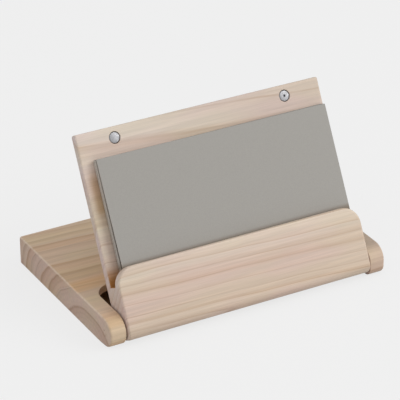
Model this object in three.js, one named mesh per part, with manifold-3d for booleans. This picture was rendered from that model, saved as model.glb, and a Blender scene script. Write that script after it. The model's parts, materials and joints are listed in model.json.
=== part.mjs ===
// A wooden business card case that opens into a desk stand.
//
// The cover is one pale board. Its front is cut away between two arms, and
// its underside is hollowed for the cards. The card rest is a J in section:
// a thin board, a round heel, and a rail that holds the cards. It turns on
// two steel pins between the arms. In the photograph it leans back over the
// cover. Turned forward and right under, its board fills the underside, its
// rail fills the cut-out flush with the top, and four magnets hold it shut.
//
// Millimetres, +Z up, +X along the hinge. Both wooden pieces are drawn as
// they lie in the closed case: y runs back from the hinge end, and z runs up
// from the underside. The rest is then turned about its pins.

import * as THREE from "three";
import { mergeVertices } from "three/addons/utils/BufferGeometryUtils.js";
import Module from "manifold-3d";

const wasm = await Module();
wasm.setup();

// Sizes of the case
const caseWidth = 110;
const caseDepth = 72;
const caseThickness = 10.7;
const edgeRound = 0.8;
const cornerRound = 1.0;

// Sizes of the arms at the hinge end
const armThickness = 6;
const noseLength = 5.8;
const noseDrop = 5.3;
const noseUnderRound = 3;
const cutoutCornerRound = 7;

// Sizes of the card rest
const boardThickness = 2.9;
const railThickness = 3.2;
const railTop = 24.7;
const railCornerRound = 6.6;
const railFootRound = 3.6;
const pocketFloor = 6.9;
const endWallTop = 18.6;
const endWallThickness = 1.2;
const leanBack = 27.2;

// Sizes of the hinge
const pivotFromFront = 4.6;
const pinDiameter = 2;
const pinDepthInRest = 7;
const plugLength = 2;

// Sizes of the magnets
const magnetDiameter = 4;
const magnetHeight = 2;
const magnetFromSide = 14.65;
const magnetFromEdge = 3.9;

// Sizes of the cards
const cardWidth = 91;
const cardHeight = 55;
const cardThickness = 0.35;
const cardCount = 6;
const cardAir = 0.04;
const backCardLean = 0.35;
const frontCardLean = 1.35;
const cardStackShift = 1.6;
const cardSideways = [0.05, -0.15, 0.02, -0.1, 0.04, 0];
const cardTurn = [0.04, -0.1, 0, -0.14, -0.05, -0.18];

// Clearances
const sideGap = 0.5;
const restShift = 0.1;
const swingGap = 0.35;
const nestGap = 0.3;
const pinPressGap = 0.1;
const pinTurningGap = 0.2;
const pinEndGap = 0.2;
const magnetGap = 0.15;
const cardGap = 0.3;

// Facets of the round forms
const noseSteps = 16;
const heelSteps = 10;
const cornerSteps = 4;
const edgeSteps = 3;
const roundSteps = 28;
const pastFace = 1;
const noRound = 0;

// Places that follow from the sizes
const pivotHeight = caseThickness / 2;
const armInside = caseWidth / 2 - armThickness;
const restHalfWidth = armInside - sideGap;
const railInside = caseThickness - railThickness;
const pocketHalfWidth = restHalfWidth - endWallThickness;
const railSweep = Math.hypot(railTop - pivotFromFront, caseThickness - pivotHeight);
const cutoutBack = pivotFromFront + railSweep + swingGap;
const rebateHeight = boardThickness + nestGap;
const recessHeight = railInside + nestGap;
const recessHalfWidth = pocketHalfWidth + sideGap;
const magnetFromMiddle = restHalfWidth - magnetFromSide;
const cardFoot = pocketFloor + cardGap;
const cardSweep = Math.hypot(
  cardFoot + cardHeight - pivotFromFront,
  Math.max(railInside - pivotHeight, pivotHeight - boardThickness),
);
const ledgeFront = pivotFromFront + cardSweep + swingGap;
const magnetFromHinge = caseDepth - magnetFromEdge;
const openAngle = THREE.MathUtils.degToRad(90 - leanBack);

// Materials, with the colours of the photograph
const coverWood = new THREE.MeshStandardMaterial({ color: 0xd3bb9a, roughness: 0.62 });
const restWood = new THREE.MeshStandardMaterial({ color: 0xdcc8ac, roughness: 0.6 });
const plugWood = new THREE.MeshStandardMaterial({ color: 0xb9a48c, roughness: 0.7 });
const steel = new THREE.MeshStandardMaterial({ color: 0xb8bbbf, roughness: 0.3, metalness: 1 });
const nickel = new THREE.MeshStandardMaterial({ color: 0xc9c7c6, roughness: 0.22, metalness: 1 });
const card = new THREE.MeshStandardMaterial({ color: 0xa09e96, roughness: 0.75 });

// A closed three.js geometry as a solid that can be joined and cut
function solid(geometry) {
  const bare = geometry.clone();
  bare.deleteAttribute("normal");
  bare.deleteAttribute("uv");
  const merged = mergeVertices(bare, 1e-5);
  return new wasm.Manifold(new wasm.Mesh({
    numProp: 3,
    vertProperties: new Float32Array(merged.attributes.position.array),
    triVerts: new Uint32Array(merged.index.array),
  }));
}

// A solid back to a named three.js mesh
function named(name, body, material) {
  const { numProp, vertProperties, triVerts } = body.getMesh();
  const geometry = new THREE.BufferGeometry();
  const places = new Float32Array((vertProperties.length / numProp) * 3);
  for (let i = 0; i < places.length / 3; i += 1) {
    places.set(vertProperties.slice(i * numProp, i * numProp + 3), i * 3);
  }
  geometry.setAttribute("position", new THREE.BufferAttribute(places, 3));
  geometry.setIndex(new THREE.BufferAttribute(new Uint32Array(triVerts), 1));
  geometry.computeVertexNormals();
  const mesh = new THREE.Mesh(geometry, material);
  mesh.name = name;
  return mesh;
}

// A box between two corners
function box(low, high) {
  const size = high.map((value, axis) => value - low[axis]);
  const middle = high.map((value, axis) => (value + low[axis]) / 2);
  return solid(new THREE.BoxGeometry(...size).translate(...middle));
}

// A cylinder that lies along X between two places
function rodAlongX(diameter, fromX, toX, y, z) {
  const radius = diameter / 2;
  const rod = new THREE.CylinderGeometry(radius, radius, Math.abs(toX - fromX), roundSteps);
  return solid(rod.rotateZ(Math.PI / 2).translate((fromX + toX) / 2, y, z));
}

// A cylinder that stands along Z between two heights
function discAlongZ(diameter, low, high, x, y) {
  const radius = diameter / 2;
  const disc = new THREE.CylinderGeometry(radius, radius, high - low, roundSteps);
  return solid(disc.rotateX(Math.PI / 2).translate(x, y, (low + high) / 2));
}

// The places on a quarter of an ellipse, from one quarter turn to the next
function quarter(centreX, centreY, radiusX, radiusY, quarterTurns, steps) {
  const places = [];
  for (let step = 0; step <= steps; step += 1) {
    const angle = (quarterTurns + step / steps) * Math.PI / 2;
    places.push(new THREE.Vector2(
      centreX + radiusX * Math.cos(angle),
      centreY + radiusY * Math.sin(angle),
    ));
  }
  return places;
}

// A y-z outline drawn out along X to a full width, with its end edges rounded
function drawnAlongX(outline, halfWidth) {
  const geometry = new THREE.ExtrudeGeometry(outline, {
    depth: 2 * (halfWidth - edgeRound),
    bevelThickness: edgeRound,
    bevelSize: edgeRound,
    bevelOffset: -edgeRound,
    bevelSegments: edgeSteps,
  });
  geometry.translate(0, 0, edgeRound - halfWidth);
  const alongX = new THREE.Matrix4().makeBasis(
    new THREE.Vector3(0, 1, 0),
    new THREE.Vector3(0, 0, 1),
    new THREE.Vector3(1, 0, 0),
  );
  return solid(geometry.applyMatrix4(alongX));
}

// An x-y outline drawn up along Z between two heights
function drawnAlongZ(outline, low, high, round) {
  const geometry = new THREE.ExtrudeGeometry(outline, {
    depth: high - low - 2 * round,
    bevelEnabled: round > 0,
    bevelThickness: round,
    bevelSize: round,
    bevelOffset: -round,
    bevelSegments: edgeSteps,
  });
  return solid(geometry.translate(0, 0, low + round));
}

// The section of the cover: a full nose over a smaller round at the front
function coverSection() {
  const back = caseDepth - cornerRound;
  const top = caseThickness - cornerRound;
  const noseFoot = caseThickness - noseDrop;
  return new THREE.Shape([
    ...quarter(back, cornerRound, cornerRound, cornerRound, 3, cornerSteps),
    ...quarter(back, top, cornerRound, cornerRound, 0, cornerSteps),
    ...quarter(noseLength, noseFoot, noseLength, noseDrop, 1, noseSteps),
    ...quarter(noseUnderRound, noseUnderRound, noseUnderRound, noseUnderRound, 2, cornerSteps),
  ]);
}

// The section of the rest without its rail: board, end walls, foot and round heel
function restSection() {
  const top = caseDepth - cornerRound;
  const face = boardThickness - cornerRound;
  const footMiddle = caseThickness - railFootRound;
  const heel = pivotFromFront;
  return new THREE.Shape([
    ...quarter(top, cornerRound, cornerRound, cornerRound, 3, cornerSteps),
    ...quarter(top, face, cornerRound, cornerRound, 0, cornerSteps),
    new THREE.Vector2(endWallTop, boardThickness),
    new THREE.Vector2(endWallTop, caseThickness),
    ...quarter(railFootRound, footMiddle, railFootRound, railFootRound, 1, heelSteps),
    ...quarter(heel, heel, heel, heel, 2, heelSteps),
  ]);
}

// A plan outline that runs back from a line and ends in two round corners
function plateWithRoundCorners(halfWidth, front, back, round) {
  return new THREE.Shape([
    new THREE.Vector2(-halfWidth, front),
    new THREE.Vector2(halfWidth, front),
    ...quarter(halfWidth - round, back - round, round, round, 0, noseSteps),
    ...quarter(round - halfWidth, back - round, round, round, 1, noseSteps),
  ]);
}

const sides = [["left", -1], ["right", 1]];

// The cover, cut away for all that it holds
function makeCover() {
  let body = drawnAlongX(coverSection(), caseWidth / 2);
  const cutout = plateWithRoundCorners(armInside, -pastFace, cutoutBack, cutoutCornerRound);
  body = body.subtract(drawnAlongZ(cutout, -pastFace, caseThickness + pastFace, noRound));
  body = body.subtract(box(
    [-armInside, -pastFace, -pastFace],
    [armInside, caseDepth + pastFace, rebateHeight],
  ));
  body = body.subtract(box(
    [-recessHalfWidth, cutoutBack - cutoutCornerRound, 0],
    [recessHalfWidth, ledgeFront, recessHeight],
  ));
  const boreDiameter = pinDiameter + 2 * pinPressGap;
  const pocketDiameter = magnetDiameter + 2 * magnetGap;
  const pocketTop = rebateHeight + magnetHeight + magnetGap;
  for (const [, side] of sides) {
    const outside = side * (caseWidth / 2 + pastFace);
    const inside = side * (armInside - pastFace);
    body = body.subtract(rodAlongX(boreDiameter, outside, inside, pivotFromFront, pivotHeight));
    const x = side * magnetFromMiddle + restShift;
    body = body.subtract(discAlongZ(pocketDiameter, 0, pocketTop, x, magnetFromHinge));
  }
  return body;
}

// The rest: section and rail in one piece of wood, hollowed for the cards
function makeRest() {
  let body = drawnAlongX(restSection(), restHalfWidth);
  const rail = plateWithRoundCorners(restHalfWidth, railFootRound, railTop, railCornerRound);
  body = body.add(drawnAlongZ(rail, railInside, caseThickness, edgeRound));
  body = body.subtract(box(
    [-pocketHalfWidth, pocketFloor, boardThickness],
    [pocketHalfWidth, railTop + pastFace, railInside],
  ));
  const boreDiameter = pinDiameter + 2 * pinTurningGap;
  const pocketDiameter = magnetDiameter + 2 * magnetGap;
  const pocketLow = boardThickness - magnetHeight - magnetGap;
  for (const [, side] of sides) {
    const outside = side * (restHalfWidth + pastFace);
    const inside = side * (restHalfWidth - pinDepthInRest - pinEndGap);
    body = body.subtract(rodAlongX(boreDiameter, outside, inside, pivotFromFront, pivotHeight));
    const x = side * magnetFromMiddle;
    const pocketHigh = boardThickness + pastFace;
    body = body.subtract(discAlongZ(pocketDiameter, pocketLow, pocketHigh, x, magnetFromHinge));
  }
  return body;
}

// One card, flat in x and y. The front card stands off the stack and leans back on it
function makeCard(index) {
  const isFront = index === cardCount - 1;
  const stackFoot = boardThickness + cardGap + backCardLean + index * (cardThickness + cardAir);
  const foot = isFront ? railInside - cardGap - cardThickness : stackFoot;
  const tilt = -Math.asin((isFront ? frontCardLean : backCardLean) / cardHeight);
  const slab = new THREE.BoxGeometry(cardWidth, cardHeight, cardThickness);
  slab.translate(0, cardHeight / 2, cardThickness / 2);
  slab.rotateZ(THREE.MathUtils.degToRad(cardTurn[index]));
  slab.rotateX(tilt);
  return slab.translate(cardStackShift + cardSideways[index], cardFoot, foot);
}

// The cover's own pieces, where they lie on the desk
const lyingPieces = new THREE.Group();
lyingPieces.add(named("cover", makeCover(), coverWood));
for (const [word, side] of sides) {
  const outside = side * caseWidth / 2;
  const plugInside = side * (caseWidth / 2 - plugLength);
  const pinOutside = side * (caseWidth / 2 - plugLength - pinPressGap);
  const pinInside = side * (restHalfWidth - pinDepthInRest) + restShift;
  const pin = rodAlongX(pinDiameter, pinOutside, pinInside, pivotFromFront, pivotHeight);
  const plug = rodAlongX(pinDiameter, outside, plugInside, pivotFromFront, pivotHeight);
  const magnet = discAlongZ(
    magnetDiameter, rebateHeight, rebateHeight + magnetHeight,
    side * magnetFromMiddle + restShift, magnetFromHinge,
  );
  lyingPieces.add(named(`hinge_pin_${word}`, pin, steel));
  lyingPieces.add(named(`pin_plug_${word}`, plug, plugWood));
  lyingPieces.add(named(`cover_magnet_${word}`, magnet, nickel));
}

// The rest's pieces, turned about the pins from the closed case
const restPieces = [];
restPieces.push(named("card_rest", makeRest(), restWood));
for (const [word, side] of sides) {
  const x = side * magnetFromMiddle;
  const magnetFoot = boardThickness - magnetHeight;
  const magnet = discAlongZ(magnetDiameter, magnetFoot, boardThickness, x, magnetFromHinge);
  restPieces.push(named(`rest_magnet_${word}`, magnet, nickel));
}
for (let index = 0; index < cardCount; index += 1) {
  restPieces.push(named(`business_card_${index + 1}`, solid(makeCard(index)), card));
}
const turnedPieces = new THREE.Group();
for (const piece of restPieces) {
  piece.position.set(0, -pivotFromFront, -pivotHeight);
  turnedPieces.add(piece);
}
turnedPieces.position.set(restShift, pivotFromFront, pivotHeight);
turnedPieces.rotation.x = openAngle;

// The rail's foot reaches past the arms, so the middle of the whole is there
const footCentre = [railFootRound - pivotFromFront, caseThickness - railFootRound - pivotHeight];
const frontReach = pivotFromFront
  + footCentre[0] * Math.cos(openAngle)
  - footCentre[1] * Math.sin(openAngle)
  - railFootRound;
const cardCase = new THREE.Group();
cardCase.add(lyingPieces, turnedPieces);
cardCase.position.y = -(caseDepth + Math.min(0, frontReach)) / 2;
cardCase.updateMatrixWorld(true);

export default cardCase;
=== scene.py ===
# %% [markdown]
# A wooden business card case, dressed in Blender
#
# The case is two pieces of pale softwood that nest in each other. Here it stands open on a desk:
# the cover lies flat, and the J-shaped card rest leans back between its two arms.
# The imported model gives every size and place. This script gives the case its rounded edges,
# its grain, its plated magnets and its paper.

import json
import math

import bmesh
import bpy
from mathutils import Matrix, Vector


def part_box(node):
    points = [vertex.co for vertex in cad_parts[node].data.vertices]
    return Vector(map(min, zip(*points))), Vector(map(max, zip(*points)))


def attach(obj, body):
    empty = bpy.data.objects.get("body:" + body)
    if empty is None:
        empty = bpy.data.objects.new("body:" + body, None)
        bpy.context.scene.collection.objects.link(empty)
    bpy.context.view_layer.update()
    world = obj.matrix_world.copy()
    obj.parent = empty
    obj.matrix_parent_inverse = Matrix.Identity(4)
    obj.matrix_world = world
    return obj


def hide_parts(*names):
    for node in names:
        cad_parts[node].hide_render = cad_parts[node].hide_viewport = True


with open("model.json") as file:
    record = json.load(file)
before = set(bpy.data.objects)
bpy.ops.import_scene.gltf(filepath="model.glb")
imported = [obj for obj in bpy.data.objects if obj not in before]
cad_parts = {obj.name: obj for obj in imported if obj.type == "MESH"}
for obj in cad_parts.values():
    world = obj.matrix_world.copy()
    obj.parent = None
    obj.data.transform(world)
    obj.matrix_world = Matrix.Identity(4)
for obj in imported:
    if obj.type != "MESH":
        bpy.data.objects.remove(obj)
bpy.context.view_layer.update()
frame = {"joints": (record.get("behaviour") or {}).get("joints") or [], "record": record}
bpy.ops.object.select_all(action="DESELECT")

# %% [markdown]
# The sizes that everything shares
#
# A maker draws both wooden pieces as they lie in the shut case, because there they share one flat block.
# So this script does the same: it measures the cover and the rest in the frame, models the rest shut,
# and then turns it about the hinge to where it stands in the photograph.
# In the photograph the left nose is rounder underneath than the right one, so each has its own size.

# %% Sizes from the frame
MM = 0.001
cover_low, cover_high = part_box("cover")
rest_low, rest_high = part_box("card_rest")
hinge = frame["joints"][0]
pivot = Vector(hinge["pos_m"])
shut_turn = math.radians(hinge["range_deg"][1])
front = cover_low.y
back = cover_high.y
thickness = cover_high.z
half_width = cover_high.x
rest_half_width = (rest_high.x - rest_low.x) / 2
rest_middle = (rest_high.x + rest_low.x) / 2
print("case in mm:", [round(size / MM, 2) for size in cover_high - cover_low])

# %% Sizes that a rule and a radius gauge would give
edge_round = 0.8 * MM
cut_edge_round = 0.25 * MM
nose_length = 5.8 * MM
nose_drop = 5.3 * MM
left_under_round = 5.2 * MM
right_under_round = 3.4 * MM
arm_width = 6 * MM
cutout_corner_round = 7 * MM
board_thickness = 2.9 * MM
rail_thickness = 3.2 * MM
rail_height = 24.7 * MM
rail_corner_round = 6.6 * MM
rail_foot_round = 3.6 * MM
heel_depth = 6.9 * MM
end_wall_height = 18.6 * MM
end_wall_thickness = 1.2 * MM
recess_side_gap = 0.5 * MM
gap = 0.3 * MM
swing_gap = 0.35 * MM
past_face = 1 * MM
print("board and rail in mm:", board_thickness / MM, rail_thickness / MM)

# %% Places that follow from the sizes
arm_inside = half_width - arm_width
rail_inside = thickness - rail_thickness
rail_top = front + rail_height
pocket_floor = front + heel_depth
end_wall_top = front + end_wall_height
pocket_half_width = rest_half_width - end_wall_thickness
rail_sweep = math.hypot(rail_top - pivot.y, thickness - pivot.z)
cutout_back = pivot.y + rail_sweep + swing_gap
rebate_top = board_thickness + gap
recess_top = rail_inside + gap
recess_half_width = pocket_half_width + recess_side_gap
print("cut-out from the front in mm:", round((cutout_back - front) / MM, 2))

# %% [markdown]
# The camera
#
# The photograph was taken from in front and to the left, from a little above, with a long lens.
# The camera stands where the case's measured edges fall on the edges in the photograph,
# so every piece can be compared with it in place. The photograph leans by a quarter of a degree,
# so the camera is rolled by as much about its own axis once it has its place.

# %% Camera
camera_azimuth = math.radians(-29.02)
camera_elevation = math.radians(27.85)
camera_roll = math.radians(-0.24)
camera_distance = 835.5 * MM
camera_sideways = -17.8 * MM
camera_lift = 39.14 * MM
camera_lens = 215.67
camera_tilt = math.radians(90) - camera_elevation

bpy.ops.object.camera_add(rotation=(camera_tilt, 0, camera_azimuth))
camera = bpy.context.object
camera.name = "photo_camera"
turned = camera.rotation_euler.to_matrix()
camera_offset = Vector((camera_sideways, camera_lift, camera_distance))
camera.location = Vector((0, front, 0)) + turned @ camera_offset
camera.rotation_euler = (turned @ Matrix.Rotation(camera_roll, 3, "Z")).to_euler()
camera.data.lens = camera_lens
camera.data.clip_start = 0.05
camera.data.clip_end = 20
bpy.context.scene.camera = camera
bpy.context.scene.view_settings.view_transform = "Standard"
print("camera at", [round(value, 3) for value in camera.location])

# %% [markdown]
# Small helpers for nodes
#
# A material is a tree of nodes. A few helpers keep the trees short to read: the first adds a node and
# fills or links its sockets, and the others do arithmetic, mix colours or carry a value to a new range.


# %% Node and arithmetic helpers
def add_node(tree, kind, inputs=None, settings=None):
    """A new node with its settings made and its sockets filled or linked."""
    node = tree.nodes.new(kind)
    for name, value in (settings or {}).items():
        setattr(node, name, value)
    for name, value in (inputs or {}).items():
        if isinstance(value, bpy.types.NodeSocket):
            tree.links.new(value, node.inputs[name])
        else:
            node.inputs[name].default_value = value
    return node


def maths(tree, operation, *values):
    """The result of one step of arithmetic on numbers or sockets."""
    node = add_node(tree, "ShaderNodeMath", dict(enumerate(values)), {"operation": operation})
    return node.outputs[0]


def product(tree, *shares):
    """Several shares multiplied into one."""
    result = shares[0]
    for share in shares[1:]:
        result = maths(tree, "MULTIPLY", result, share)
    return result


def away_from(tree, value, middle):
    """How far a value lies from a middle, on either side."""
    return maths(tree, "ABSOLUTE", maths(tree, "SUBTRACT", value, middle))


def split(tree, vector):
    """The three numbers of a vector, under X, Y and Z."""
    return add_node(tree, "ShaderNodeSeparateXYZ", {0: vector}).outputs


# %% Range and colour helpers
def remapped(tree, value, from_low, from_high, to_low, to_high):
    """A value carried from one range to another, with soft ends."""
    inputs = {"Value": value, 1: from_low, 2: from_high, 3: to_low, 4: to_high}
    return add_node(tree, "ShaderNodeMapRange", inputs, {"interpolation_type": "SMOOTHSTEP"}).outputs[0]


def spread(tree, noise, low, high):
    """A noise, of which most lies between 0.3 and 0.7, spread over a range."""
    return remapped(tree, noise, 0.3, 0.7, low, high)


def between(tree, value, rise_from, rise_to, fall_from, fall_to):
    """A share that rises over one stretch of a value and falls over a later one."""
    rising = remapped(tree, value, rise_from, rise_to, 0, 1)
    falling = remapped(tree, value, fall_from, fall_to, 1, 0)
    return product(tree, rising, falling)


def blended(tree, factor, first, second, blend_type="MIX"):
    """A colour part of the way from the first to the second."""
    settings = {"data_type": "RGBA", "blend_type": blend_type}
    return add_node(tree, "ShaderNodeMix", {0: factor, 6: first, 7: second}, settings).outputs[2]


def tinted(tree, share, colour, tint):
    """A colour multiplied by a tint, as far as a share says."""
    return blended(tree, share, colour, tint, "MULTIPLY")


# %% Material helpers
def fresh_material(name):
    """A new material with an empty tree and its output node."""
    material = bpy.data.materials.new(name)
    material.use_nodes = True
    material.node_tree.nodes.clear()
    output = material.node_tree.nodes.new("ShaderNodeOutputMaterial")
    return material, material.node_tree, output


def give_surface(tree, output, inputs, height, bump_share, bump_height):
    """A Principled shader with its inputs and a fine bump, linked to the output."""
    roughened = {"Strength": bump_share, "Distance": bump_height, "Height": height}
    bump = add_node(tree, "ShaderNodeBump", roughened)
    shader = add_node(tree, "ShaderNodeBsdfPrincipled", {**inputs, "Normal": bump.outputs[0]})
    tree.links.new(shader.outputs[0], output.inputs["Surface"])


def mixed(tree, share, first, second):
    """Two shaders mixed, with a share of the second."""
    sides = {0: share, 1: first.outputs[0], 2: second.outputs[0]}
    return add_node(tree, "ShaderNodeMixShader", sides)


def seen_share(tree, rays):
    """One where the camera sees a surface, straight, in a shine or through glass."""
    seen = maths(tree, "MAXIMUM", rays["Is Camera Ray"], rays["Is Glossy Ray"])
    return maths(tree, "MAXIMUM", seen, rays["Is Transmission Ray"])


# %% [markdown]
# The room and its light
#
# The photograph has a flat pale grey all round, and its light is soft. So the room looks pale to the camera
# and in the magnets' shine, while what it really sheds on the case is a weaker white.
# One broad lamp stands low in front on the right: it lights the faces that lean towards it,
# leaves the cover's flat top darker, and lets the cards shade the board on their left.
# A weaker one hangs high on the left.

# %% World
PALE = (0.855, 0.855, 0.855, 1)
WHITE = (1, 1, 1, 1)
FILL_STRENGTH = 0.54
world = bpy.data.worlds.new("studio")
bpy.context.scene.world = world
world.use_nodes = True
tree = world.node_tree
tree.nodes.clear()
rays = tree.nodes.new("ShaderNodeLightPath").outputs
fill = add_node(tree, "ShaderNodeBackground", {"Color": WHITE, "Strength": FILL_STRENGTH})
backdrop = add_node(tree, "ShaderNodeBackground", {"Color": PALE, "Strength": 1})
both = mixed(tree, seen_share(tree, rays), fill, backdrop)
output = tree.nodes.new("ShaderNodeOutputWorld")
tree.links.new(both.outputs[0], output.inputs["Surface"])
print("light from all round:", FILL_STRENGTH)

# %% Lamps
LAMP_AIM = Vector((0, 0, 25 * MM))


def add_lamp(name, azimuth, elevation, distance, size, power):
    """A square lamp that faces the case from a bearing and a height, both in degrees."""
    bearing = math.radians(azimuth)
    height = math.radians(elevation)
    outward = math.cos(height)
    away = Vector((math.sin(bearing) * outward, -math.cos(bearing) * outward, math.sin(height)))
    facing = away.to_track_quat("Z", "Y").to_euler()
    bpy.ops.object.light_add(type="AREA", location=LAMP_AIM + away * distance, rotation=facing)
    lamp = bpy.context.object
    lamp.name = name
    lamp.data.size = size
    lamp.data.energy = power
    print(name, "of", power, "W")


add_lamp("key_lamp", azimuth=50, elevation=33, distance=1.7, size=1.25, power=16.2)
add_lamp("top_lamp", azimuth=-60, elevation=65, distance=1.4, size=1.2, power=3)

# %% [markdown]
# The desk
#
# A floor that only reflects the lamps would shade off to one side, so what the camera sees of it is mostly
# its own pale colour, and a share of real light is kept in it so that the case still casts its shadow.
# Beneath the case no such glow is left, so the hollow behind the rail is as dark as it should be,
# and the desk throws less light back at the wood than the camera sees in it.
# The faces that stand on the desk get no light, and seen from below they would be black.
# So the desk lies a hair lower than they do, and the short rays between the two find a faint glow.

# %% Desk plane
FLOOR_SIZE = 6
FLOOR_DROP = 0.02 * MM
bpy.ops.mesh.primitive_plane_add(size=FLOOR_SIZE, location=(0, 0, -FLOOR_DROP))
floor = bpy.context.object
floor.name = "desk"
print("desk in m:", FLOOR_SIZE)

# %% Desk colour and shadow
SHADOW_SHARE = 0.14
SHADE_EDGE = 1.5 * MM
# Beneath the case the desk is painted a dark brown, for shade warmed by light off the wood.
SHADED = (0.5, 0.36, 0.24, 1)
BOUNCED = (0.62, 0.62, 0.62, 1)
DESK_STRENGTH = 1.03
shade_front = -23 * MM
material, tree, output = fresh_material("pale_desk")
rays = tree.nodes.new("ShaderNodeLightPath").outputs
seen = seen_share(tree, rays)
lit = add_node(tree, "ShaderNodeBsdfDiffuse")
plain = add_node(tree, "ShaderNodeEmission", {"Color": PALE, "Strength": DESK_STRENGTH})
spot = split(tree, tree.nodes.new("ShaderNodeTexCoord").outputs["Object"])
across = remapped(tree, maths(tree, "ABSOLUTE", spot["X"]), half_width - SHADE_EDGE, half_width, 0, 1)
along = remapped(tree, maths(tree, "ABSOLUTE", spot["Y"]), back - SHADE_EDGE, back, 0, 1)
ahead = remapped(tree, spot["Y"], shade_front - SHADE_EDGE, shade_front, 1, 0)
open_floor = maths(tree, "MAXIMUM", maths(tree, "MAXIMUM", across, along), ahead)
desk_colour = blended(tree, seen, BOUNCED, PALE)
tree.links.new(blended(tree, open_floor, SHADED, desk_colour), lit.inputs["Color"])
desk_surface = mixed(tree, product(tree, seen, 1 - SHADOW_SHARE, open_floor), lit, plain)
print("share of real light in the desk:", SHADOW_SHARE)

# %% Desk from below
CONTACT = 0.25 * MM
UNDER_GLOW = (0.42, 0.42, 0.42, 1)
short = maths(tree, "LESS_THAN", rays["Ray Length"], CONTACT)
under_glow = add_node(tree, "ShaderNodeEmission", {"Color": UNDER_GLOW, "Strength": 1})
desk_surface = mixed(tree, product(tree, short, rays["Is Diffuse Ray"]), desk_surface, under_glow)
clear = add_node(tree, "ShaderNodeBsdfTransparent")
below = tree.nodes.new("ShaderNodeNewGeometry").outputs["Backfacing"]
desk_surface = mixed(tree, product(tree, below, rays["Is Camera Ray"]), desk_surface, clear)
tree.links.new(desk_surface.outputs[0], output.inputs["Surface"])
floor.data.materials.append(material)
print("desk nodes:", len(tree.nodes))

# %% [markdown]
# Wood
#
# A tree grows a ring a year round its heart, so a board's pattern is one solid thing cut by its faces:
# straight lines along the grain on the faces, and arcs round the heart on the end grain.
# Painted stripes would not meet at the edges. So this node group works out the ring at each point
# from its distance to the heart, which lies nearly along X, outside the board.
# Each ring starts pale, darkens slowly into late wood and ends in a thin dark line,
# and finer rings lie between.

# %% Growth ring group
rings = bpy.data.node_groups.new("growth_rings", "ShaderNodeTree")
rings.interface.new_socket(name="Place", in_out="INPUT", socket_type="NodeSocketVector")
for socket in (
    "Heart Y", "Heart Z", "Lean Y", "Lean Z", "Squash", "Year Area", "Wobble", "Unevenness", "Fine Gap",
):
    rings.interface.new_socket(name=socket, in_out="INPUT", socket_type="NodeSocketFloat")
for socket in ("Late Wood", "Line", "Year"):
    rings.interface.new_socket(name=socket, in_out="OUTPUT", socket_type="NodeSocketFloat")
given = rings.nodes.new("NodeGroupInput").outputs
print("growth ring sockets:", len(rings.interface.items_tree))


# %% Noise helpers
def add_noise(tree, place, scale, detail):
    """A noise in all directions alike."""
    inputs = {"Vector": place, "Scale": scale, "Detail": detail}
    return add_node(tree, "ShaderNodeTexNoise", inputs).outputs[0]


def drawn_noise(tree, place, stretch, detail):
    """A noise that is drawn out along the grain."""
    drawn_out = add_node(tree, "ShaderNodeVectorMath", {0: place, 1: stretch}, {"operation": "MULTIPLY"})
    return add_noise(tree, drawn_out.outputs[0], 1, detail)


# %% Distance to the heart
MIDDLE = 0.5
WAVE_STRETCH = (0.018, 0.08, 0.08)
place = split(rings, given["Place"])
heart_y = maths(rings, "MULTIPLY_ADD", place["X"], given["Lean Y"], given["Heart Y"])
heart_z = maths(rings, "MULTIPLY_ADD", place["X"], given["Lean Z"], given["Heart Z"])
across = product(rings, maths(rings, "SUBTRACT", place["Y"], heart_y), given["Squash"])
above = maths(rings, "SUBTRACT", place["Z"], heart_z)
squares = maths(rings, "ADD", product(rings, across, across), product(rings, above, above))
radius = maths(rings, "SQRT", squares)
wave = maths(rings, "SUBTRACT", drawn_noise(rings, given["Place"], WAVE_STRETCH, 2), MIDDLE)
radius = maths(rings, "MULTIPLY_ADD", wave, given["Wobble"], radius)
print("ring nodes so far:", len(rings.nodes))

# %% Years
UNEVEN_SCALE = 0.63
LATE_START = 0.1
LATE_END = 0.84
LATE_CURVE = 1.6
count = maths(rings, "DIVIDE", product(rings, radius, radius), given["Year Area"])
uneven = add_node(
    rings, "ShaderNodeTexNoise", {"W": count, "Scale": UNEVEN_SCALE, "Detail": 1}, {"noise_dimensions": "1D"}
).outputs[0]
uneven = maths(rings, "SUBTRACT", uneven, MIDDLE)
count = maths(rings, "MULTIPLY_ADD", uneven, given["Unevenness"], count)
phase = maths(rings, "FRACT", count)
rising = remapped(rings, phase, LATE_START, LATE_END, 0, 1)
falling = remapped(rings, phase, LATE_END, 1, 1, 0)
late_wood = product(rings, maths(rings, "POWER", rising, LATE_CURVE), falling)
year = add_node(
    rings, "ShaderNodeTexWhiteNoise", {"W": maths(rings, "FLOOR", count)}, {"noise_dimensions": "1D"}
).outputs[0]
print("late wood ends at", LATE_END, "of a year")

# %% Fine rings and year lines
FINE_SHARE = 0.24
YEAR_SHARE = 0.78
FINE_WIDTH = (0.05, 0.3)
YEAR_LINE = 0.86
YEAR_LINE_WIDTH = (0.01, 0.08)
fine_phase = maths(rings, "FRACT", maths(rings, "DIVIDE", radius, given["Fine Gap"]))
fine_ring = remapped(rings, away_from(rings, fine_phase, MIDDLE), *FINE_WIDTH, 1, 0)
late_wood = maths(rings, "MULTIPLY_ADD", fine_ring, FINE_SHARE, product(rings, late_wood, YEAR_SHARE))
line = remapped(rings, away_from(rings, phase, YEAR_LINE), *YEAR_LINE_WIDTH, 1, 0)
taken = rings.nodes.new("NodeGroupOutput")
rings.links.new(late_wood, taken.inputs["Late Wood"])
rings.links.new(line, taken.inputs["Line"])
rings.links.new(year, taken.inputs["Year"])
print("ring nodes:", len(rings.nodes))

# %% [markdown]
# Fibres
#
# Between the rings, softwood is made of fine fibres that run along the grain. On a face they are
# faint streaks, and on end grain the same fibres are cut across and show as fine dots.
# A noise that is drawn out along X gives both at once. The group puts out a fine and a broad streak,
# and a slow patch for the wood's drift in colour.

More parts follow.
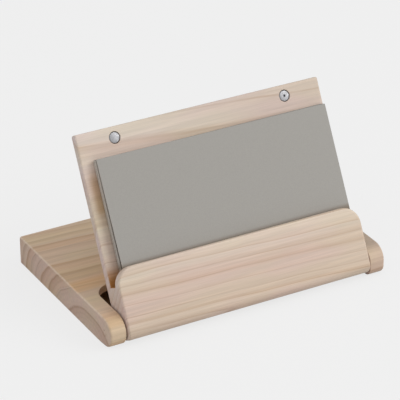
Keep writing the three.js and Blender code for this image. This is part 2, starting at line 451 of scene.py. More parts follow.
# %% Fibre group
fibres = bpy.data.node_groups.new("wood_fibres", "ShaderNodeTree")
fibres.interface.new_socket(name="Place", in_out="INPUT", socket_type="NodeSocketVector")
for socket in ("Fine", "Broad", "Patch"):
    fibres.interface.new_socket(name=socket, in_out="OUTPUT", socket_type="NodeSocketFloat")
given = fibres.nodes.new("NodeGroupInput").outputs
taken = fibres.nodes.new("NodeGroupOutput")
for socket, stretch, detail in (
    ("Fine", (0.09, 4.2, 4.2), 4),
    ("Broad", (0.02, 0.9, 0.9), 3),
    ("Patch", (0.03, 0.11, 0.11), 1),
):
    streak = drawn_noise(fibres, given["Place"], stretch, detail)
    fibres.links.new(streak, taken.inputs[socket])
print("fibre nodes:", len(fibres.nodes))

# %% [markdown]
# The wood's own colour
#
# Each wooden piece reads its own place in millimetres, in the shut case, so the rings of the rest
# stay true although it stands turned. The pale early wood, the tan late wood and its dark line,
# a warmer year here and there, a pink or yellow drift over each few centimetres, the fibres
# and the greyer end grain are mixed in that order. The cover shows its rings less on its faces
# than on its ends, as a sanded and oiled board does.


# %% Place in the shut case
def place_when_shut(tree, coordinates, turn):
    """The place of a point in millimetres, from the front, with the case turned shut."""
    turned = Matrix.Rotation(turn, 3, "X")
    start = pivot - turned @ pivot - Vector((0, front, 0))
    mapping = {
        "Vector": coordinates.outputs["Object"],
        "Location": start / MM,
        "Rotation": (turn, 0, 0),
        "Scale": (1 / MM, 1 / MM, 1 / MM),
    }
    return add_node(tree, "ShaderNodeMapping", mapping).outputs[0]


# %% Grown colour
FAINTEST_YEAR = 0.25
LINE_DEPTH = 0.6
LINE_GAPS = (0.35, 0.6)
FAINTEST_LINE = 0.25
LINE_TINT = (0.80, 0.75, 0.70, 1)
WARM_YEARS = (0.55, 0.8)
WARM_TINT = (1.0, 0.88, 0.72, 1)
DRIFT = (0.35, 0.65)
YELLOW_TINT = (1.0, 0.985, 0.93, 1)
PINK_TINT = (1.01, 0.948, 0.955, 1)


def grown_colour(tree, grown, fibre, end_grain, early, late, warm_share, face_depth):
    """The colour that the years give, fainter on the faces by the face depth."""
    depth = maths(tree, "MULTIPLY_ADD", grown["Year"], 1 - FAINTEST_YEAR, FAINTEST_YEAR)
    depth = product(tree, depth, remapped(tree, end_grain, 0, 1, face_depth, 1))
    colour = blended(tree, product(tree, grown["Late Wood"], depth), early, late)
    unbroken = remapped(tree, fibre["Broad"], *LINE_GAPS, FAINTEST_LINE, 1)
    line_depth = remapped(tree, end_grain, 0, 1, face_depth ** 2, 1)
    line_share = product(tree, grown["Line"], unbroken, line_depth, LINE_DEPTH)
    colour = blended(tree, line_share, colour, tinted(tree, 1, late, LINE_TINT))
    warm = remapped(tree, grown["Year"], *WARM_YEARS, 0, warm_share)
    colour = tinted(tree, warm, colour, WARM_TINT)
    drift = remapped(tree, fibre["Patch"], *DRIFT, 0, 1)
    return tinted(tree, 1, colour, blended(tree, drift, YELLOW_TINT, PINK_TINT))


# %% [markdown]
# Painted light and shade on the wood, and its own tints
#
# The photograph shows more than grain. A highlight is painted along the cover's upper side edges, a warm
# band crosses it behind the gap, its right side is a little darker and greyer, and painted shade lies on the
# right arm behind its nose and on the left nose. On the rest, the slot is darker and browner, its oiled wood
# under painted shade, the board carries a painted shadow of the cards and painted light on its outer strips,
# and the rail is palest along its top.
# A picture could hold such marks, but each is a stretch between two places, so the material works them out.
# The places are in millimetres in the shut case: across from the middle, back from the front, and up.

# %% Marks on the cover
# A pale line is painted along the cover's upper side edges: a painted highlight on their rounds.
EDGE_HIGHLIGHT_COLOUR = (0.80, 0.66, 0.54, 1)
EDGE_HIGHLIGHT_SHARE = 0.6
HIGHLIGHT_IN_FROM_SIDE = (0.7, 0.35, 0.16, 0.02)
HIGHLIGHT_DOWN_FROM_TOP = (2.2, 0.7)
HIGHLIGHT_GAPS = (0.32, 0.5)
FAINTEST_HIGHLIGHT = 0.45
BAND_BACK = (24.5, 29, 31.5, 36)
BAND_WAVE = 3
BAND_TINT = (1.05, 0.90, 0.75, 1)
RIGHT_SIDE = (30, 52)
RIGHT_SIDE_TINT = (0.92, 0.93, 0.99, 1)
# Painted shade on the top of the right arm behind its nose, beside the rail.
RIGHT_ARM_SHADE_BACK = (0.4, 5, 12, 30)
RIGHT_ARM_SHADE_TINT = (0.74, 0.76, 0.81, 1)
# Painted shade on the left nose, darker above and below its middle height.
LEFT_NOSE_SHADE_ACROSS = (-49, -44)
LEFT_NOSE_SHADE_BACK = (5, 11)
LEFT_NOSE_SHADE_TINT = (0.97, 0.90, 0.82, 1)
NOSE_TIP_UP = 6
NOSE_TIP = (1.5, 3.5)


def mark_cover(tree, colour, spot, fibre, on_faces):
    """The painted highlight on the upper edges, the warm band, the greyer right side, and the painted shade
    on the arms.
    """
    from_middle = maths(tree, "ABSOLUTE", spot["X"])
    at_side = between(tree, from_middle, *(half_width / MM - inwards for inwards in HIGHLIGHT_IN_FROM_SIDE))
    at_top = remapped(tree, spot["Z"], *(thickness / MM - down for down in HIGHLIGHT_DOWN_FROM_TOP), 0, 1)
    unbroken = remapped(tree, fibre["Broad"], *HIGHLIGHT_GAPS, FAINTEST_HIGHLIGHT, 1)
    edge_highlight = product(tree, EDGE_HIGHLIGHT_SHARE, at_side, at_top, unbroken)
    colour = blended(tree, edge_highlight, colour, EDGE_HIGHLIGHT_COLOUR)
    wavy_place = maths(tree, "MULTIPLY_ADD", fibre["Broad"], BAND_WAVE, spot["Y"])
    band = product(tree, between(tree, wavy_place, *BAND_BACK), on_faces)
    colour = tinted(tree, band, colour, BAND_TINT)
    right_side = remapped(tree, spot["X"], *RIGHT_SIDE, 0, 1)
    colour = tinted(tree, right_side, colour, RIGHT_SIDE_TINT)
    right_arm_shade = product(tree, right_side, between(tree, spot["Y"], *RIGHT_ARM_SHADE_BACK))
    colour = tinted(tree, right_arm_shade, colour, RIGHT_ARM_SHADE_TINT)
    left_nose_shade = product(
        tree,
        remapped(tree, spot["X"], *LEFT_NOSE_SHADE_ACROSS, 1, 0),
        remapped(tree, spot["Y"], *LEFT_NOSE_SHADE_BACK, 1, 0),
        remapped(tree, away_from(tree, spot["Z"], NOSE_TIP_UP), *NOSE_TIP, 0, 1),
        on_faces,
    )
    return tinted(tree, left_nose_shade, colour, LEFT_NOSE_SHADE_TINT)


# %% Marks in the slot and on the board
PLAY = 0.1
SLOT_FOOT = 6.5
# Inside the slot the wood is darker and browner: its own oiled colour with painted shade over it.
SLOT_SHADE_BACK = (20, 27)
SLOT_OIL_AND_SHADE_TINT = (0.78, 0.45, 0.16, 1)
# A painted shadow of the cards on the board, showing beside the ends of the stack.
CARD_SHADOW_ACROSS = (45, 48)
CARD_SHADOW_FROM = (41.5, 45.5)
CARD_SHADOW_TO = (54, 61)
LEAST_CARD_SHADOW = 0.1
CARD_SHADOW_TINT = (0.79, 0.66, 0.51, 1)
# Painted light on the board's outer strips, lower down beside the cards.
LIT_STRIP_ACROSS = (45, 47.5)
LIT_STRIP_BACK = (24, 29, 41, 47)
LIT_STRIP_TINT = (1.03, 1.06, 1.02, 1)


def mark_board(tree, colour, spot, on_faces):
    """The slot's oiled colour under painted shade, and the painted shadow and painted light on the board
    beside the cards.
    """
    from_middle = maths(tree, "ABSOLUTE", spot["X"])
    on_board = product(
        tree,
        maths(tree, "GREATER_THAN", spot["Z"], board_thickness / MM - PLAY),
        maths(tree, "LESS_THAN", spot["Z"], rail_inside / MM + PLAY),
        maths(tree, "GREATER_THAN", spot["Y"], SLOT_FOOT),
    )
    slot_oil_and_shade = product(tree, on_board, remapped(tree, spot["Y"], *SLOT_SHADE_BACK, 1, 0), on_faces)
    colour = tinted(tree, slot_oil_and_shade, colour, SLOT_OIL_AND_SHADE_TINT)
    card_shadow = product(
        tree,
        remapped(tree, from_middle, *CARD_SHADOW_ACROSS, 1, 0),
        remapped(tree, spot["Y"], *CARD_SHADOW_FROM, LEAST_CARD_SHADOW, 1),
        remapped(tree, spot["Y"], *CARD_SHADOW_TO, 1, 0),
        on_board,
    )
    colour = tinted(tree, card_shadow, colour, CARD_SHADOW_TINT)
    lit_strip = product(
        tree,
        remapped(tree, from_middle, *LIT_STRIP_ACROSS, 0, 1),
        between(tree, spot["Y"], *LIT_STRIP_BACK),
        on_board,
    )
    return tinted(tree, lit_strip, colour, LIT_STRIP_TINT)


# %% Marks on the rest
RAIL_RISE = 2
RAIL_PALE_FROM_TOP = (9, 4)
RAIL_LOWER_TINT = (0.99, 0.95, 0.935, 1)
RAIL_UPPER_TINT = (1.05, 1.055, 1.06, 1)
BOARD_END_BACK = (54, 60)
BOARD_ACROSS = (-48, 48)
BOARD_END_LEFT_TINT = (1.05, 1.09, 1.13, 1)
BOARD_END_RIGHT_TINT = (0.96, 0.95, 0.97, 1)


def mark_rest(tree, colour, spot, fibre, on_faces):
    """The board's marks, and the tints along the rail and the board's upper end."""
    colour = mark_board(tree, colour, spot, on_faces)
    rail_face = rail_inside / MM + PLAY
    on_rail = remapped(tree, spot["Z"], rail_face, rail_face + RAIL_RISE, 0, 1)
    rail_end = (rail_top - front) / MM
    upper = remapped(tree, spot["Y"], *(rail_end - down for down in RAIL_PALE_FROM_TOP), 0, 1)
    rail_tint = blended(tree, upper, RAIL_LOWER_TINT, RAIL_UPPER_TINT)
    colour = tinted(tree, on_rail, colour, rail_tint)
    board_end = remapped(tree, spot["Y"], *BOARD_END_BACK, 0, 1)
    to_right = remapped(tree, spot["X"], *BOARD_ACROSS, 0, 1)
    end_tint = blended(tree, to_right, BOARD_END_LEFT_TINT, BOARD_END_RIGHT_TINT)
    return tinted(tree, board_end, colour, end_tint)


# %% [markdown]
# The oiled surface
#
# The finish is a thin matt oil. A lacquer would lie smooth over the wood, but here the surface is rough,
# the late wood stands a little proud of the early wood, and the fibres can be felt in the bump.

# %% Wood material
END_TURN = (0.55, 0.95)
BROAD_STREAKS = (0.93, 1.04)
FINE_STREAKS = (0.955, 1.03)
WOOD_ROUGH = (0.5, 0.66)
LATE_HEIGHT = 0.35
FIBRE_HEIGHT = 0.05 * MM


def make_wood(name, turn, growth, early, late, end_tint, warm_share, face_depth, add_marks):
    """A softwood finish from its growth values, its colours and the marks of its piece."""
    material, tree, output = fresh_material(name)
    coordinates = tree.nodes.new("ShaderNodeTexCoord")
    place = place_when_shut(tree, coordinates, turn)
    grown = add_node(tree, "ShaderNodeGroup", {"Place": place, **growth}, {"node_tree": rings}).outputs
    fibre = add_node(tree, "ShaderNodeGroup", {"Place": place}, {"node_tree": fibres}).outputs
    facing = split(tree, coordinates.outputs["Normal"])
    end_grain = remapped(tree, maths(tree, "ABSOLUTE", facing["X"]), *END_TURN, 0, 1)
    colour = grown_colour(tree, grown, fibre, end_grain, early, late, warm_share, face_depth)
    broad = spread(tree, fibre["Broad"], *BROAD_STREAKS)
    fine = spread(tree, fibre["Fine"], *FINE_STREAKS)
    colour = tinted(tree, 1, colour, product(tree, broad, fine))
    colour = tinted(tree, end_grain, colour, end_tint)
    on_faces = maths(tree, "SUBTRACT", 1, end_grain)
    colour = add_marks(tree, colour, split(tree, place), fibre, on_faces)
    rough = spread(tree, fibre["Broad"], *WOOD_ROUGH)
    height = maths(tree, "MULTIPLY_ADD", grown["Late Wood"], LATE_HEIGHT, fibre["Fine"])
    surface = {"Base Color": colour, "Roughness": rough, "IOR": 1.4}
    give_surface(tree, output, surface, height, bump_share=0.25, bump_height=FIBRE_HEIGHT)
    return material


# %% The two boards and the plugs
cover_wood = make_wood(
    "cover_softwood",
    turn=0,
    growth={
        "Heart Y": 13.8, "Heart Z": -5, "Lean Y": -0.048, "Lean Z": -0.012, "Squash": 0.65,
        "Year Area": 160, "Wobble": 2.4, "Unevenness": 0.6, "Fine Gap": 1.7,
    },
    early=(0.665, 0.526, 0.38, 1),
    late=(0.49, 0.34, 0.22, 1),
    end_tint=(0.995, 0.985, 1.105, 1),
    warm_share=0.4,
    face_depth=0.68,
    add_marks=mark_cover,
)
plug_wood = cover_wood.copy()
plug_wood.name = "plug_softwood"
rest_wood = make_wood(
    "rest_softwood",
    turn=shut_turn,
    growth={
        "Heart Y": 51.4, "Heart Z": -26.5, "Lean Y": -0.044, "Lean Z": -0.0105, "Squash": 1,
        "Year Area": 260, "Wobble": 2.0, "Unevenness": 1.1, "Fine Gap": 0.8,
    },
    early=(0.655, 0.56, 0.475, 1),
    late=(0.59, 0.47, 0.37, 1),
    end_tint=(1.09, 1.09, 1.18, 1),
    warm_share=0.1,
    face_depth=1,
    add_marks=mark_rest,
)
print("wood nodes:", len(cover_wood.node_tree.nodes), len(rest_wood.node_tree.nodes))

# %% [markdown]
# Nickel, steel and card
#
# The magnets are plated with nickel that has gone satin, so it shows the pale room as a soft grey.
# The pins are ground steel. Both are metals, so their colour is the colour of their shine.
# A business card is stiff grey paper: quite rough, faintly mottled, and paler where it is cut.

# %% Metal material
ROUGH_SPREAD = (0.8, 1.3)
POLISH_HEIGHT = 0.01 * MM


def make_metal(name, colour, roughness, grain):
    """A metal finish with a little unevenness in its polish."""
    material, tree, output = fresh_material(name)
    coordinates = tree.nodes.new("ShaderNodeTexCoord")
    polish = add_noise(tree, coordinates.outputs["Object"], grain, 3)
    rough = spread(tree, polish, *(roughness * share for share in ROUGH_SPREAD))
    surface = {"Base Color": colour, "Metallic": 1, "Roughness": rough}
    give_surface(tree, output, surface, polish, bump_share=0.1, bump_height=POLISH_HEIGHT)
    print(name, "roughness about", roughness)
    return material


nickel = make_metal("bright_nickel", (0.28, 0.28, 0.29, 1), roughness=0.40, grain=1500)
steel = make_metal("ground_steel", (0.56, 0.57, 0.58, 1), roughness=0.3, grain=2500)

# %% [markdown]
# Where the stack is dark
#
# Behind the front card the stack's ends lie in their own shadow, the rail shades the cards' feet, and their
# top edges lie in shade. So the card's finish also reads its place in the shut case and which way it faces,
# and paints these shades.

# %% Card material
PULP_GRAIN = 2600
PULP_HEIGHT = 0.02 * MM
MOTTLE = (0.97, 1.03)
STACK_SHIFT = 1.7 * MM
STACK_DEPTH = 2.3 * MM
STACK_ENDS = (43.9, 44.6)
STACK_SHADE = 0.65
STACK_SHADE_EDGE = 0.25
CUT_TURN = (0.6, 0.9)
TOP_TURN = (0.6, 0.8)
# The cards' top edges and the wedge in the stack take a painted shade colour.
TOP_EDGE_SHADE_SHARE = 0.8
RAIL_SHADE_BACK = (-0.5, 1.6)
RAIL_SHADE_TINT = (0.64, 0.56, 0.48, 1)
stack_middle = rest_middle + STACK_SHIFT
stack_top = (board_thickness + gap + STACK_DEPTH) / MM


def make_card(name, colour, cut_colour, shade_colour):
    """Grey card with faint mottling and pale cut ends, with painted shade on its top edges, in the stack and
    at its foot.
    """
    material, tree, output = fresh_material(name)
    coordinates = tree.nodes.new("ShaderNodeTexCoord")
    pulp = add_noise(tree, coordinates.outputs["Object"], PULP_GRAIN, 4)
    facing = split(tree, coordinates.outputs["Normal"])
    cut_end = remapped(tree, maths(tree, "ABSOLUTE", facing["X"]), *CUT_TURN, 0, 1)
    paper = tinted(tree, 1, colour, spread(tree, pulp, *MOTTLE))
    top_edge_shade = remapped(tree, facing["Z"], *TOP_TURN, 0, TOP_EDGE_SHADE_SHARE)
    paper = blended(tree, top_edge_shade, paper, shade_colour)
    paper = blended(tree, cut_end, paper, cut_colour)
    spot = split(tree, place_when_shut(tree, coordinates, shut_turn))
    rail_end = (rail_top - front) / MM
    shaded = remapped(tree, spot["Y"], *(rail_end + further for further in RAIL_SHADE_BACK), 1, 0)
    paper = tinted(tree, shaded, paper, RAIL_SHADE_TINT)
    at_end = remapped(tree, away_from(tree, spot["X"], stack_middle / MM), *STACK_ENDS, 0, 1)
    in_stack = remapped(tree, spot["Z"], stack_top, stack_top + STACK_SHADE_EDGE, STACK_SHADE, 0)
    wedge = product(tree, at_end, in_stack, maths(tree, "SUBTRACT", 1, cut_end))
    paper = blended(tree, wedge, paper, shade_colour)
    surface = {"Base Color": paper, "Roughness": 0.7, "IOR": 1.4}
    give_surface(tree, output, surface, pulp, bump_share=0.15, bump_height=PULP_HEIGHT)
    print(name, "nodes:", len(tree.nodes))
    return material


card_paper = make_card(
    "grey_card",
    colour=(0.35, 0.335, 0.31, 1),
    cut_colour=(0.68, 0.63, 0.57, 1),
    shade_colour=(0.2, 0.175, 0.15, 1),
)

# %% [markdown]
# Helpers for modelling as by hand
#
# Each piece starts as a primitive at its size and place. Edges are picked in code by where they lie,
# rounded in edit mode, and the hollows are cut with Boolean modifiers that are applied at once.
# A last Bevel modifier breaks all the edges that are still sharp. It reads a weight on each edge,
# so the hand-rounded outside and the crisp cuts can have their own radius in one pass.


# %% Picking helpers
SAME_PLACE = 0.01 * MM
ALONG_X = 0
ALONG_Z = 2


def pick(piece):
    """Selects one object alone and makes it active."""
    bpy.ops.object.select_all(action="DESELECT")
    piece.select_set(True)
    bpy.context.view_layer.objects.active = piece


def near(first, second):
    """True where two places are the same but for rounding."""
    return abs(first - second) < SAME_PLACE


def round_edges(piece, radius, steps, test, axis=None):
    """Bevels the edges whose two ends pass a test, along one axis or in any direction."""
    pick(piece)
    bpy.ops.object.mode_set(mode="EDIT")
    bpy.ops.mesh.select_mode(type="EDGE")
    bpy.ops.mesh.select_all(action="DESELECT")
    mesh = bmesh.from_edit_mesh(piece.data)
    for edge in mesh.edges:
        first, second = edge.verts
        along = axis is None or near((second.co - first.co).length, abs(second.co[axis] - first.co[axis]))
        edge.select_set(along and test(first.co) and test(second.co))
    mesh.select_flush_mode()
    bmesh.update_edit_mesh(piece.data)
    bpy.ops.mesh.bevel(offset=radius, segments=steps, affect="EDGES")
    bpy.ops.object.mode_set(mode="OBJECT")


# %% Shape helpers
def add_block(name, low, high):
    """A box between two corners, with its place in its mesh."""
    low, high = Vector(low), Vector(high)
    bpy.ops.mesh.primitive_cube_add(size=1, location=(low + high) / 2, scale=high - low)
    piece = bpy.context.object
    piece.name = name
    bpy.ops.object.transform_apply(location=True, rotation=True, scale=True)
    return piece


def add_rod(name, radius, length, middle, along_x=False, corners=64):
    """A cylinder along X or Z, with its place in its mesh."""
    turn = (0, math.radians(90), 0) if along_x else (0, 0, 0)
    bpy.ops.mesh.primitive_cylinder_add(
        vertices=corners, radius=radius, depth=length, location=middle, rotation=turn
    )
    piece = bpy.context.object
    piece.name = name
    bpy.ops.object.transform_apply(location=True, rotation=True, scale=True)
    return piece


def cut(piece, tool):
    """Cuts the shape of a tool out of a piece, and takes the tool away."""
    modifier = piece.modifiers.new("cut", "BOOLEAN")
    modifier.operation = "DIFFERENCE"
    modifier.solver = "EXACT"
    modifier.object = tool
    pick(piece)
    bpy.ops.object.modifier_apply(modifier=modifier.name)
    bpy.data.objects.remove(tool)


# %% Edge breaking
MERGE_REACH = 0.002 * MM
FLAT_ANGLE = math.radians(0.5)
SHARP_ANGLE = math.radians(40)
EDGE_STEPS = 5


def break_edges(piece, weight_rule, seam=None):
    """Rounds each sharp outer edge by its weight times the full edge round.

    A seam is a cut across the piece at one depth, for a rounded edge to stop at.
    """
    mesh = bmesh.new()
    mesh.from_mesh(piece.data)
    bmesh.ops.remove_doubles(mesh, verts=mesh.verts, dist=MERGE_REACH)
    bmesh.ops.dissolve_limit(mesh, angle_limit=FLAT_ANGLE, verts=mesh.verts, edges=mesh.edges)
    if seam is not None:
        everything = list(mesh.verts) + list(mesh.edges) + list(mesh.faces)
        bmesh.ops.bisect_plane(mesh, geom=everything, plane_co=(0, seam, 0), plane_no=(0, 1, 0))
    weights = mesh.edges.layers.float.new("bevel_weight_edge")
    for edge in mesh.edges:
        if edge.is_manifold and edge.is_convex and edge.calc_face_angle() > SHARP_ANGLE:
            edge[weights] = weight_rule(edge.verts[0].co, edge.verts[1].co)
    mesh.to_mesh(piece.data)
    mesh.free()
    modifier = piece.modifiers.new("edges", "BEVEL")
    modifier.limit_method = "WEIGHT"
    modifier.width = edge_round
    modifier.segments = EDGE_STEPS
    modifier.use_clamp_overlap = False
    pick(piece)
    bpy.ops.object.modifier_apply(modifier=modifier.name)


# %% Shading helpers
BOARD_SMOOTH_ANGLE = math.radians(32)


def smooth_board(piece):
    """Shades the rounds smooth and keeps the large faces flat."""
    pick(piece)
    bpy.ops.object.shade_smooth_by_angle(angle=BOARD_SMOOTH_ANGLE)
    modifier = piece.modifiers.new("flat_faces", "WEIGHTED_NORMAL")
    modifier.keep_sharp = True
    modifier.weight = 80
    bpy.ops.object.modifier_apply(modifier=modifier.name)


def finish_turned(piece, material):
    """Shades a small turned piece smooth round its side and gives it its material."""
    pick(piece)
    bpy.ops.object.shade_smooth_by_angle(angle=SHARP_ANGLE)
    piece.data.materials.append(material)


def report(piece):
    """Prints how many faces a piece has and whether its mesh is closed."""
    mesh = bmesh.new()
    mesh.from_mesh(piece.data)
    loose = sum(1 for edge in mesh.edges if not edge.is_manifold)
    volume = mesh.calc_volume(signed=True) / MM ** 3
    print(piece.name, "faces", len(mesh.faces), "open edges", loose, "volume mm3", round(volume, 1))
    mesh.free()


# %% [markdown]
# The cover
#
# The cover is one board with a long, flat nose on its front, like the toe of a clog. The Bevel operator
# only makes round corners, so the block is modelled too short, given a round corner, and then stretched
# to its full depth: the round becomes the nose's long curve. The gap between the arms, the rebate
# for the rest's board and the hollow for the cards are cut afterwards, as a router would,
# and once the gap has parted the noses, each is rounded underneath by its own radius.

# %% Cover block and nose
squash = nose_drop / nose_length
cover = add_block("wooden_cover", (-half_width, 0, 0), (half_width, (back - front) * squash, thickness))
round_edges(
    cover, nose_drop, steps=28, axis=ALONG_X,
    test=lambda place: near(place.y, 0) and near(place.z, thickness),
)
cover.scale = (1, 1 / squash, 1)
cover.location = (0, front, 0)
pick(cover)
bpy.ops.object.transform_apply(location=True, rotation=True, scale=True)
report(cover)

# %% Gap between the arms
cutout = add_block(
    "cutout",
    (-arm_inside, front - past_face, -past_face),
    (arm_inside, cutout_back, thickness + past_face),
)
round_edges(
    cutout, cutout_corner_round, steps=20, axis=ALONG_Z,
    test=lambda place: near(place.y, cutout_back) and near(abs(place.x), arm_inside),
)
cut(cover, cutout)
for under_round, side in ((left_under_round, -1), (right_under_round, 1)):
    round_edges(
        cover, under_round, steps=10, axis=ALONG_X,
        test=lambda place: near(place.y, front) and near(place.z, 0) and place.x * side > 0,
    )
report(cover)

# %% Rebate and recess
rebate = add_block(
    "rebate",
    (-arm_inside, front - past_face, -past_face),
    (arm_inside, back + past_face, rebate_top),
)
cut(cover, rebate)
CARD_HEIGHT = 55 * MM
card_foot = pocket_floor + gap
card_reach = card_foot + CARD_HEIGHT - pivot.y
card_sweep = math.hypot(card_reach, max(rail_inside - pivot.z, pivot.z - board_thickness))
ledge_front = pivot.y + card_sweep + swing_gap
recess = add_block(
    "recess",
    (-recess_half_width, cutout_back - cutout_corner_round, 0),
    (recess_half_width, ledge_front, recess_top),
)
cut(cover, recess)
report(cover)

# %% Cover bores
PIN_RADIUS = 1 * MM
PIN_DEPTH = 7 * MM
PLUG_LENGTH = 2 * MM
MAGNET_RADIUS = 2 * MM
MAGNET_HEIGHT = 2 * MM
press_gap = 0.1 * MM
magnet_gap = 0.15 * MM
magnet_from_back = 3.9 * MM
magnet_from_side = 14.65 * MM
magnet_back = back - magnet_from_back
magnet_aside = rest_half_width - magnet_from_side
for side in (-1, 1):
    bore_middle = (side * (half_width + arm_inside) / 2, pivot.y, pivot.z)
    bore_length = half_width - arm_inside + 2 * past_face
    cut(cover, add_rod("bore", PIN_RADIUS + press_gap, bore_length, bore_middle, along_x=True))
    hole_high = rebate_top + MAGNET_HEIGHT + magnet_gap
    hole_middle = (side * magnet_aside + rest_middle, magnet_back, hole_high / 2)
    cut(cover, add_rod("hole", MAGNET_RADIUS + magnet_gap, hole_high, hole_middle))
report(cover)


# %% Cover edges
BORE_WEIGHT = 0.1
HOLE_WEIGHT = 0.15
BORE_ZONE = 2 * PIN_RADIUS
HOLE_ZONE = 3 * MM


def cover_weight(first, second):
    """Full rounding outside, a crisp break on the cuts and underneath, and a trace round the holes."""
    ends = (first, second)
    outside = all(near(abs(end.x), half_width) for end in ends)
    rear = all(near(end.y, back) and near(end.z, thickness) for end in ends)
    on_desk = all(near(end.z, 0) for end in ends)
    if all((end.yz - pivot.yz).length < BORE_ZONE for end in ends):
        return BORE_WEIGHT
    if all(abs(end.y - magnet_back) < HOLE_ZONE and near(end.z, rebate_top) for end in ends):
        return HOLE_WEIGHT
    if (outside or rear) and not on_desk:
        return 1
    return cut_edge_round / edge_round


break_edges(cover, cover_weight)
smooth_board(cover)
cover.data.materials.append(cover_wood)
report(cover)

# %% [markdown]
# The card rest
#
# The rest is shaped like a J: a thin board, a round heel on the hinge, and a rail that the cards stand in.
# It is modelled shut, from a block as deep as the cover. The rail's foot and the heel are rounded first,
# then the slot is cut, which leaves a short wall at each end, and the wood above the thin board is cleared.
# The heel is rounded about the hinge, so it clears the desk as the rest leans back.

# %% Rest block
left = rest_middle - rest_half_width
right = rest_middle + rest_half_width
rest = add_block("wooden_rest", (left, front, 0), (right, back, thickness))
heel_round = pivot.y - front
round_edges(
    rest, rail_foot_round, steps=14, axis=ALONG_X,
    test=lambda place: near(place.y, front) and near(place.z, thickness),
)
round_edges(
    rest, heel_round, steps=18, axis=ALONG_X,
    test=lambda place: near(place.y, front) and near(place.z, 0),
)
report(rest)

# %% Slot with its end walls
slot_cut = add_block(
    "slot_cut",
    (left - past_face, pocket_floor, board_thickness),
    (right + past_face, back + past_face, rail_inside),
)
for side in (-1, 1):
    wall_inside = rest_middle + side * pocket_half_width
    beyond = rest_middle + side * (rest_half_width + 2 * past_face)
    wall = add_block(
        "wall",
        (min(wall_inside, beyond), pocket_floor - past_face, board_thickness - past_face),
        (max(wall_inside, beyond), end_wall_top, rail_inside + past_face),
    )
    cut(slot_cut, wall)
cut(rest, slot_cut)
report(rest)

# %% Rail and its round corners
corner_step = 0.05 * MM
clearing = add_block(
    "clearing",
    (left - past_face, rail_top, (board_thickness + rail_inside) / 2),
    (right + past_face, back + past_face, thickness + past_face),
)
cut(rest, clearing)
ledge_height = rail_inside - corner_step
for side in (-1, 1):
    corner_x = rest_middle + side * (rest_half_width - rail_corner_round)
    beyond = rest_middle + side * (rest_half_width + past_face)
    corner = add_block(
        "corner",
        (min(corner_x, beyond), rail_top - rail_corner_round, ledge_height),
        (max(corner_x, beyond), rail_top + past_face, thickness + past_face),
    )
    rod_middle = (corner_x, rail_top - rail_corner_round, thickness)
    rod = add_rod("rod", rail_corner_round, 2 * thickness, rod_middle, corners=96)
    cut(corner, rod)
    cut(rest, corner)
report(rest)

# %% Rest bores
turning_gap = 0.2 * MM
for side in (-1, 1):
    bore_length = PIN_DEPTH + turning_gap + past_face
    bore_x = rest_middle + side * (rest_half_width + past_face - bore_length / 2)
    bore_middle = (bore_x, pivot.y, pivot.z)
    cut(rest, add_rod("bore", PIN_RADIUS + turning_gap, bore_length, bore_middle, along_x=True))
    hole_low = board_thickness - MAGNET_HEIGHT - magnet_gap
    hole_length = board_thickness + past_face - hole_low
    hole_middle = (rest_middle + side * magnet_aside, magnet_back, hole_low + hole_length / 2)
    cut(rest, add_rod("hole", MAGNET_RADIUS + magnet_gap, hole_length, hole_middle))
report(rest)


# %% Rest edges
RAIL_CORNER_WEIGHT = 0.3


def in_slot(place):
    """True for a place on the slot's faces, between the board and the rail."""
    between_faces = board_thickness - SAME_PLACE < place.z < rail_inside + SAME_PLACE
    return between_faces and pocket_floor - SAME_PLACE < place.y < rail_top + SAME_PLACE


def at_magnet(place):
    """True beside the mouth of a magnet's hole in the board."""
    across = abs(abs(place.x - rest_middle) - magnet_aside)
    along = abs(place.y - magnet_back)
    return near(place.z, board_thickness) and max(across, along) < HOLE_ZONE


def rest_weight(first, second):
    """Full rounding outside, crisp corners and walls in the slot, and a trace round the holes."""
    ends = (first, second)
    if all((end.yz - pivot.yz).length < BORE_ZONE for end in ends):
        return BORE_WEIGHT
    if all(at_magnet(end) for end in ends):
        return HOLE_WEIGHT
    if not all(in_slot(end) for end in ends):
        return 1
    if all(end.y > rail_top - rail_corner_round and end.z > ledge_height - SAME_PLACE for end in ends):
        return RAIL_CORNER_WEIGHT
    on_wall = any(end.y < end_wall_top + SAME_PLACE for end in ends)
    return 0 if on_wall else 1


break_edges(rest, rest_weight, seam=end_wall_top)
smooth_board(rest)
rest.data.materials.append(rest_wood)
report(rest)


# %% Stand the rest up
def stand_up(piece):
    """Turns a piece from the shut case to where it stands in the photograph."""
    back_turn = Matrix.Rotation(-shut_turn, 4, "X")
    piece.matrix_world = Matrix.Translation(pivot) @ back_turn @ Matrix.Translation(-pivot)
    pick(piece)
    bpy.ops.object.transform_apply(location=True, rotation=True, scale=True)


stand_up(rest)
report(rest)

# %% [markdown]
# The magnets
#
# Four nickel-plated discs hold the case shut. Each sits a hair below the wood in a hole slightly larger
# than itself, and the thin dark ring round it makes it look let in, not stuck on.
# The two on the rest show in the photograph, and the one on the right has a small dark dot in its middle.

# %% Magnets
DOT_RADIUS = 0.5 * MM
DOT_LENGTH = 1.2 * MM
MAGNET_CHAMFER = 0.3 * MM
magnet_sink = 0.25 * MM


def add_magnet(name, x, foot, face_up):
    """A plated disc with a rounded rim, its face towards the open end of its hole."""
    middle = (x, magnet_back, foot + MAGNET_HEIGHT / 2)
    disc = add_rod(name, MAGNET_RADIUS, MAGNET_HEIGHT, middle, corners=96)
    face_height = foot + MAGNET_HEIGHT if face_up else foot
    round_edges(disc, MAGNET_CHAMFER, steps=4, test=lambda place: near(place.z, face_height))
    finish_turned(disc, nickel)
    return disc


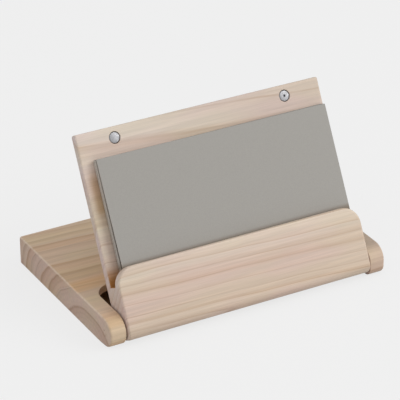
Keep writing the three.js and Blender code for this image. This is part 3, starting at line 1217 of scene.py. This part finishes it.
magnets = {}
for word, side in (("left", -1), ("right", 1)):
    magnet_x = rest_middle + side * magnet_aside
    rest_foot = board_thickness - MAGNET_HEIGHT - magnet_sink
    disc = add_magnet(f"nickel_disc_{word}", magnet_x, rest_foot, face_up=True)
    if word == "right":
        dot_middle = (magnet_x, magnet_back, rest_foot + MAGNET_HEIGHT)
        cut(disc, add_rod("dot", DOT_RADIUS, DOT_LENGTH, dot_middle, corners=32))
    stand_up(disc)
    magnets[f"rest_magnet_{word}"] = disc
    magnets[f"cover_magnet_{word}"] = add_magnet(
        f"hidden_disc_{word}", magnet_x, rebate_top + magnet_sink, face_up=False
    )
for disc in magnets.values():
    report(disc)

# %% [markdown]
# Pins and plugs
#
# The rest turns on two short steel pins, pushed in from outside the arms. No metal shows in the photograph,
# so the mouth of each bore is closed with a short plug of the same wood, sanded flush.

# %% Pins and plugs
PIN_CHAMFER = 0.2 * MM
PLUG_ROUND = 0.05 * MM


def add_peg(name, start, end, rim_round, steps, round_ends, material):
    """A rod on the hinge's line between two places, with a rounded rim at the ends that are named."""
    middle = ((start + end) / 2, pivot.y, pivot.z)
    peg = add_rod(name, PIN_RADIUS, abs(end - start), middle, along_x=True, corners=48)
    round_edges(peg, rim_round, steps, test=lambda place: any(near(place.x, rim) for rim in round_ends))
    finish_turned(peg, material)
    report(peg)
    return peg


pegs = {}
for word, side in (("left", -1), ("right", 1)):
    mouth = side * half_width
    plug_end = side * (half_width - PLUG_LENGTH)
    outer = plug_end - side * press_gap
    inner = side * (rest_half_width - PIN_DEPTH) + rest_middle
    pegs[f"hinge_pin_{word}"] = add_peg(
        f"steel_pin_{word}", outer, inner, PIN_CHAMFER, 3, (outer, inner), steel
    )
    pegs[f"pin_plug_{word}"] = add_peg(
        f"end_grain_plug_{word}", plug_end, mouth, PLUG_ROUND, 2, (mouth,), plug_wood
    )

# %% [markdown]
# The cards
#
# A thin stack of blank grey cards stands in the rail. Five lie close together against the board.
# The front card's foot has slid forward to the rail, so a dark wedge opens between it and the stack,
# and that is the dark line at its left edge. Each card is a thin slab with barely blunted corners.

# %% Cards
CARD_WIDTH = 91 * MM
CARD_THICKNESS = 0.35 * MM
CARD_CORNER_ROUND = 0.25 * MM
CARD_COUNT = 6
CARD_AIR = 0.04 * MM
BACK_LEAN = 0.35 * MM
FRONT_LEAN = 1.35 * MM
SIDEWAYS = (0.05, -0.15, 0.02, -0.1, 0.04, 0)
TURNED = (0.04, -0.1, 0, -0.14, -0.05, -0.18)
card_side = CARD_WIDTH / 2
cards = {}
for index in range(CARD_COUNT):
    is_front = index == CARD_COUNT - 1
    stack_foot = board_thickness + gap + BACK_LEAN + index * (CARD_THICKNESS + CARD_AIR)
    foot = rail_inside - gap - CARD_THICKNESS if is_front else stack_foot
    tilt = -math.asin((FRONT_LEAN if is_front else BACK_LEAN) / CARD_HEIGHT)
    slab = add_block(f"blank_card_{index + 1}", (-card_side, 0, 0), (card_side, CARD_HEIGHT, CARD_THICKNESS))
    round_edges(
        slab, CARD_CORNER_ROUND, steps=4, axis=ALONG_Z,
        test=lambda place: near(abs(place.x), card_side)
        and (near(place.y, 0) or near(place.y, CARD_HEIGHT)),
    )
    slab.rotation_euler = (tilt, 0, math.radians(TURNED[index]))
    slab.location = (stack_middle + SIDEWAYS[index] * MM, card_foot, foot)
    pick(slab)
    bpy.ops.object.transform_apply(location=True, rotation=True, scale=True)
    stand_up(slab)
    slab.data.materials.append(card_paper)
    cards[f"business_card_{index + 1}"] = slab
print("cards:", len(cards))

# %% [markdown]
# Who rides on what
#
# Every new piece stands for its CAD node and moves with that node's body:
# the cover carries its magnets, the pins and the plugs, and the rest carries its magnets and the cards.

# %% Ride and replace
dressed = {"cover": cover, "card_rest": rest, **magnets, **pegs, **cards}
for body, members in frame["record"]["behaviour"]["bodies"].items():
    for node in members:
        piece = dressed[node]
        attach(piece, body)
        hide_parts(node)
print("pieces dressed:", len(dressed))
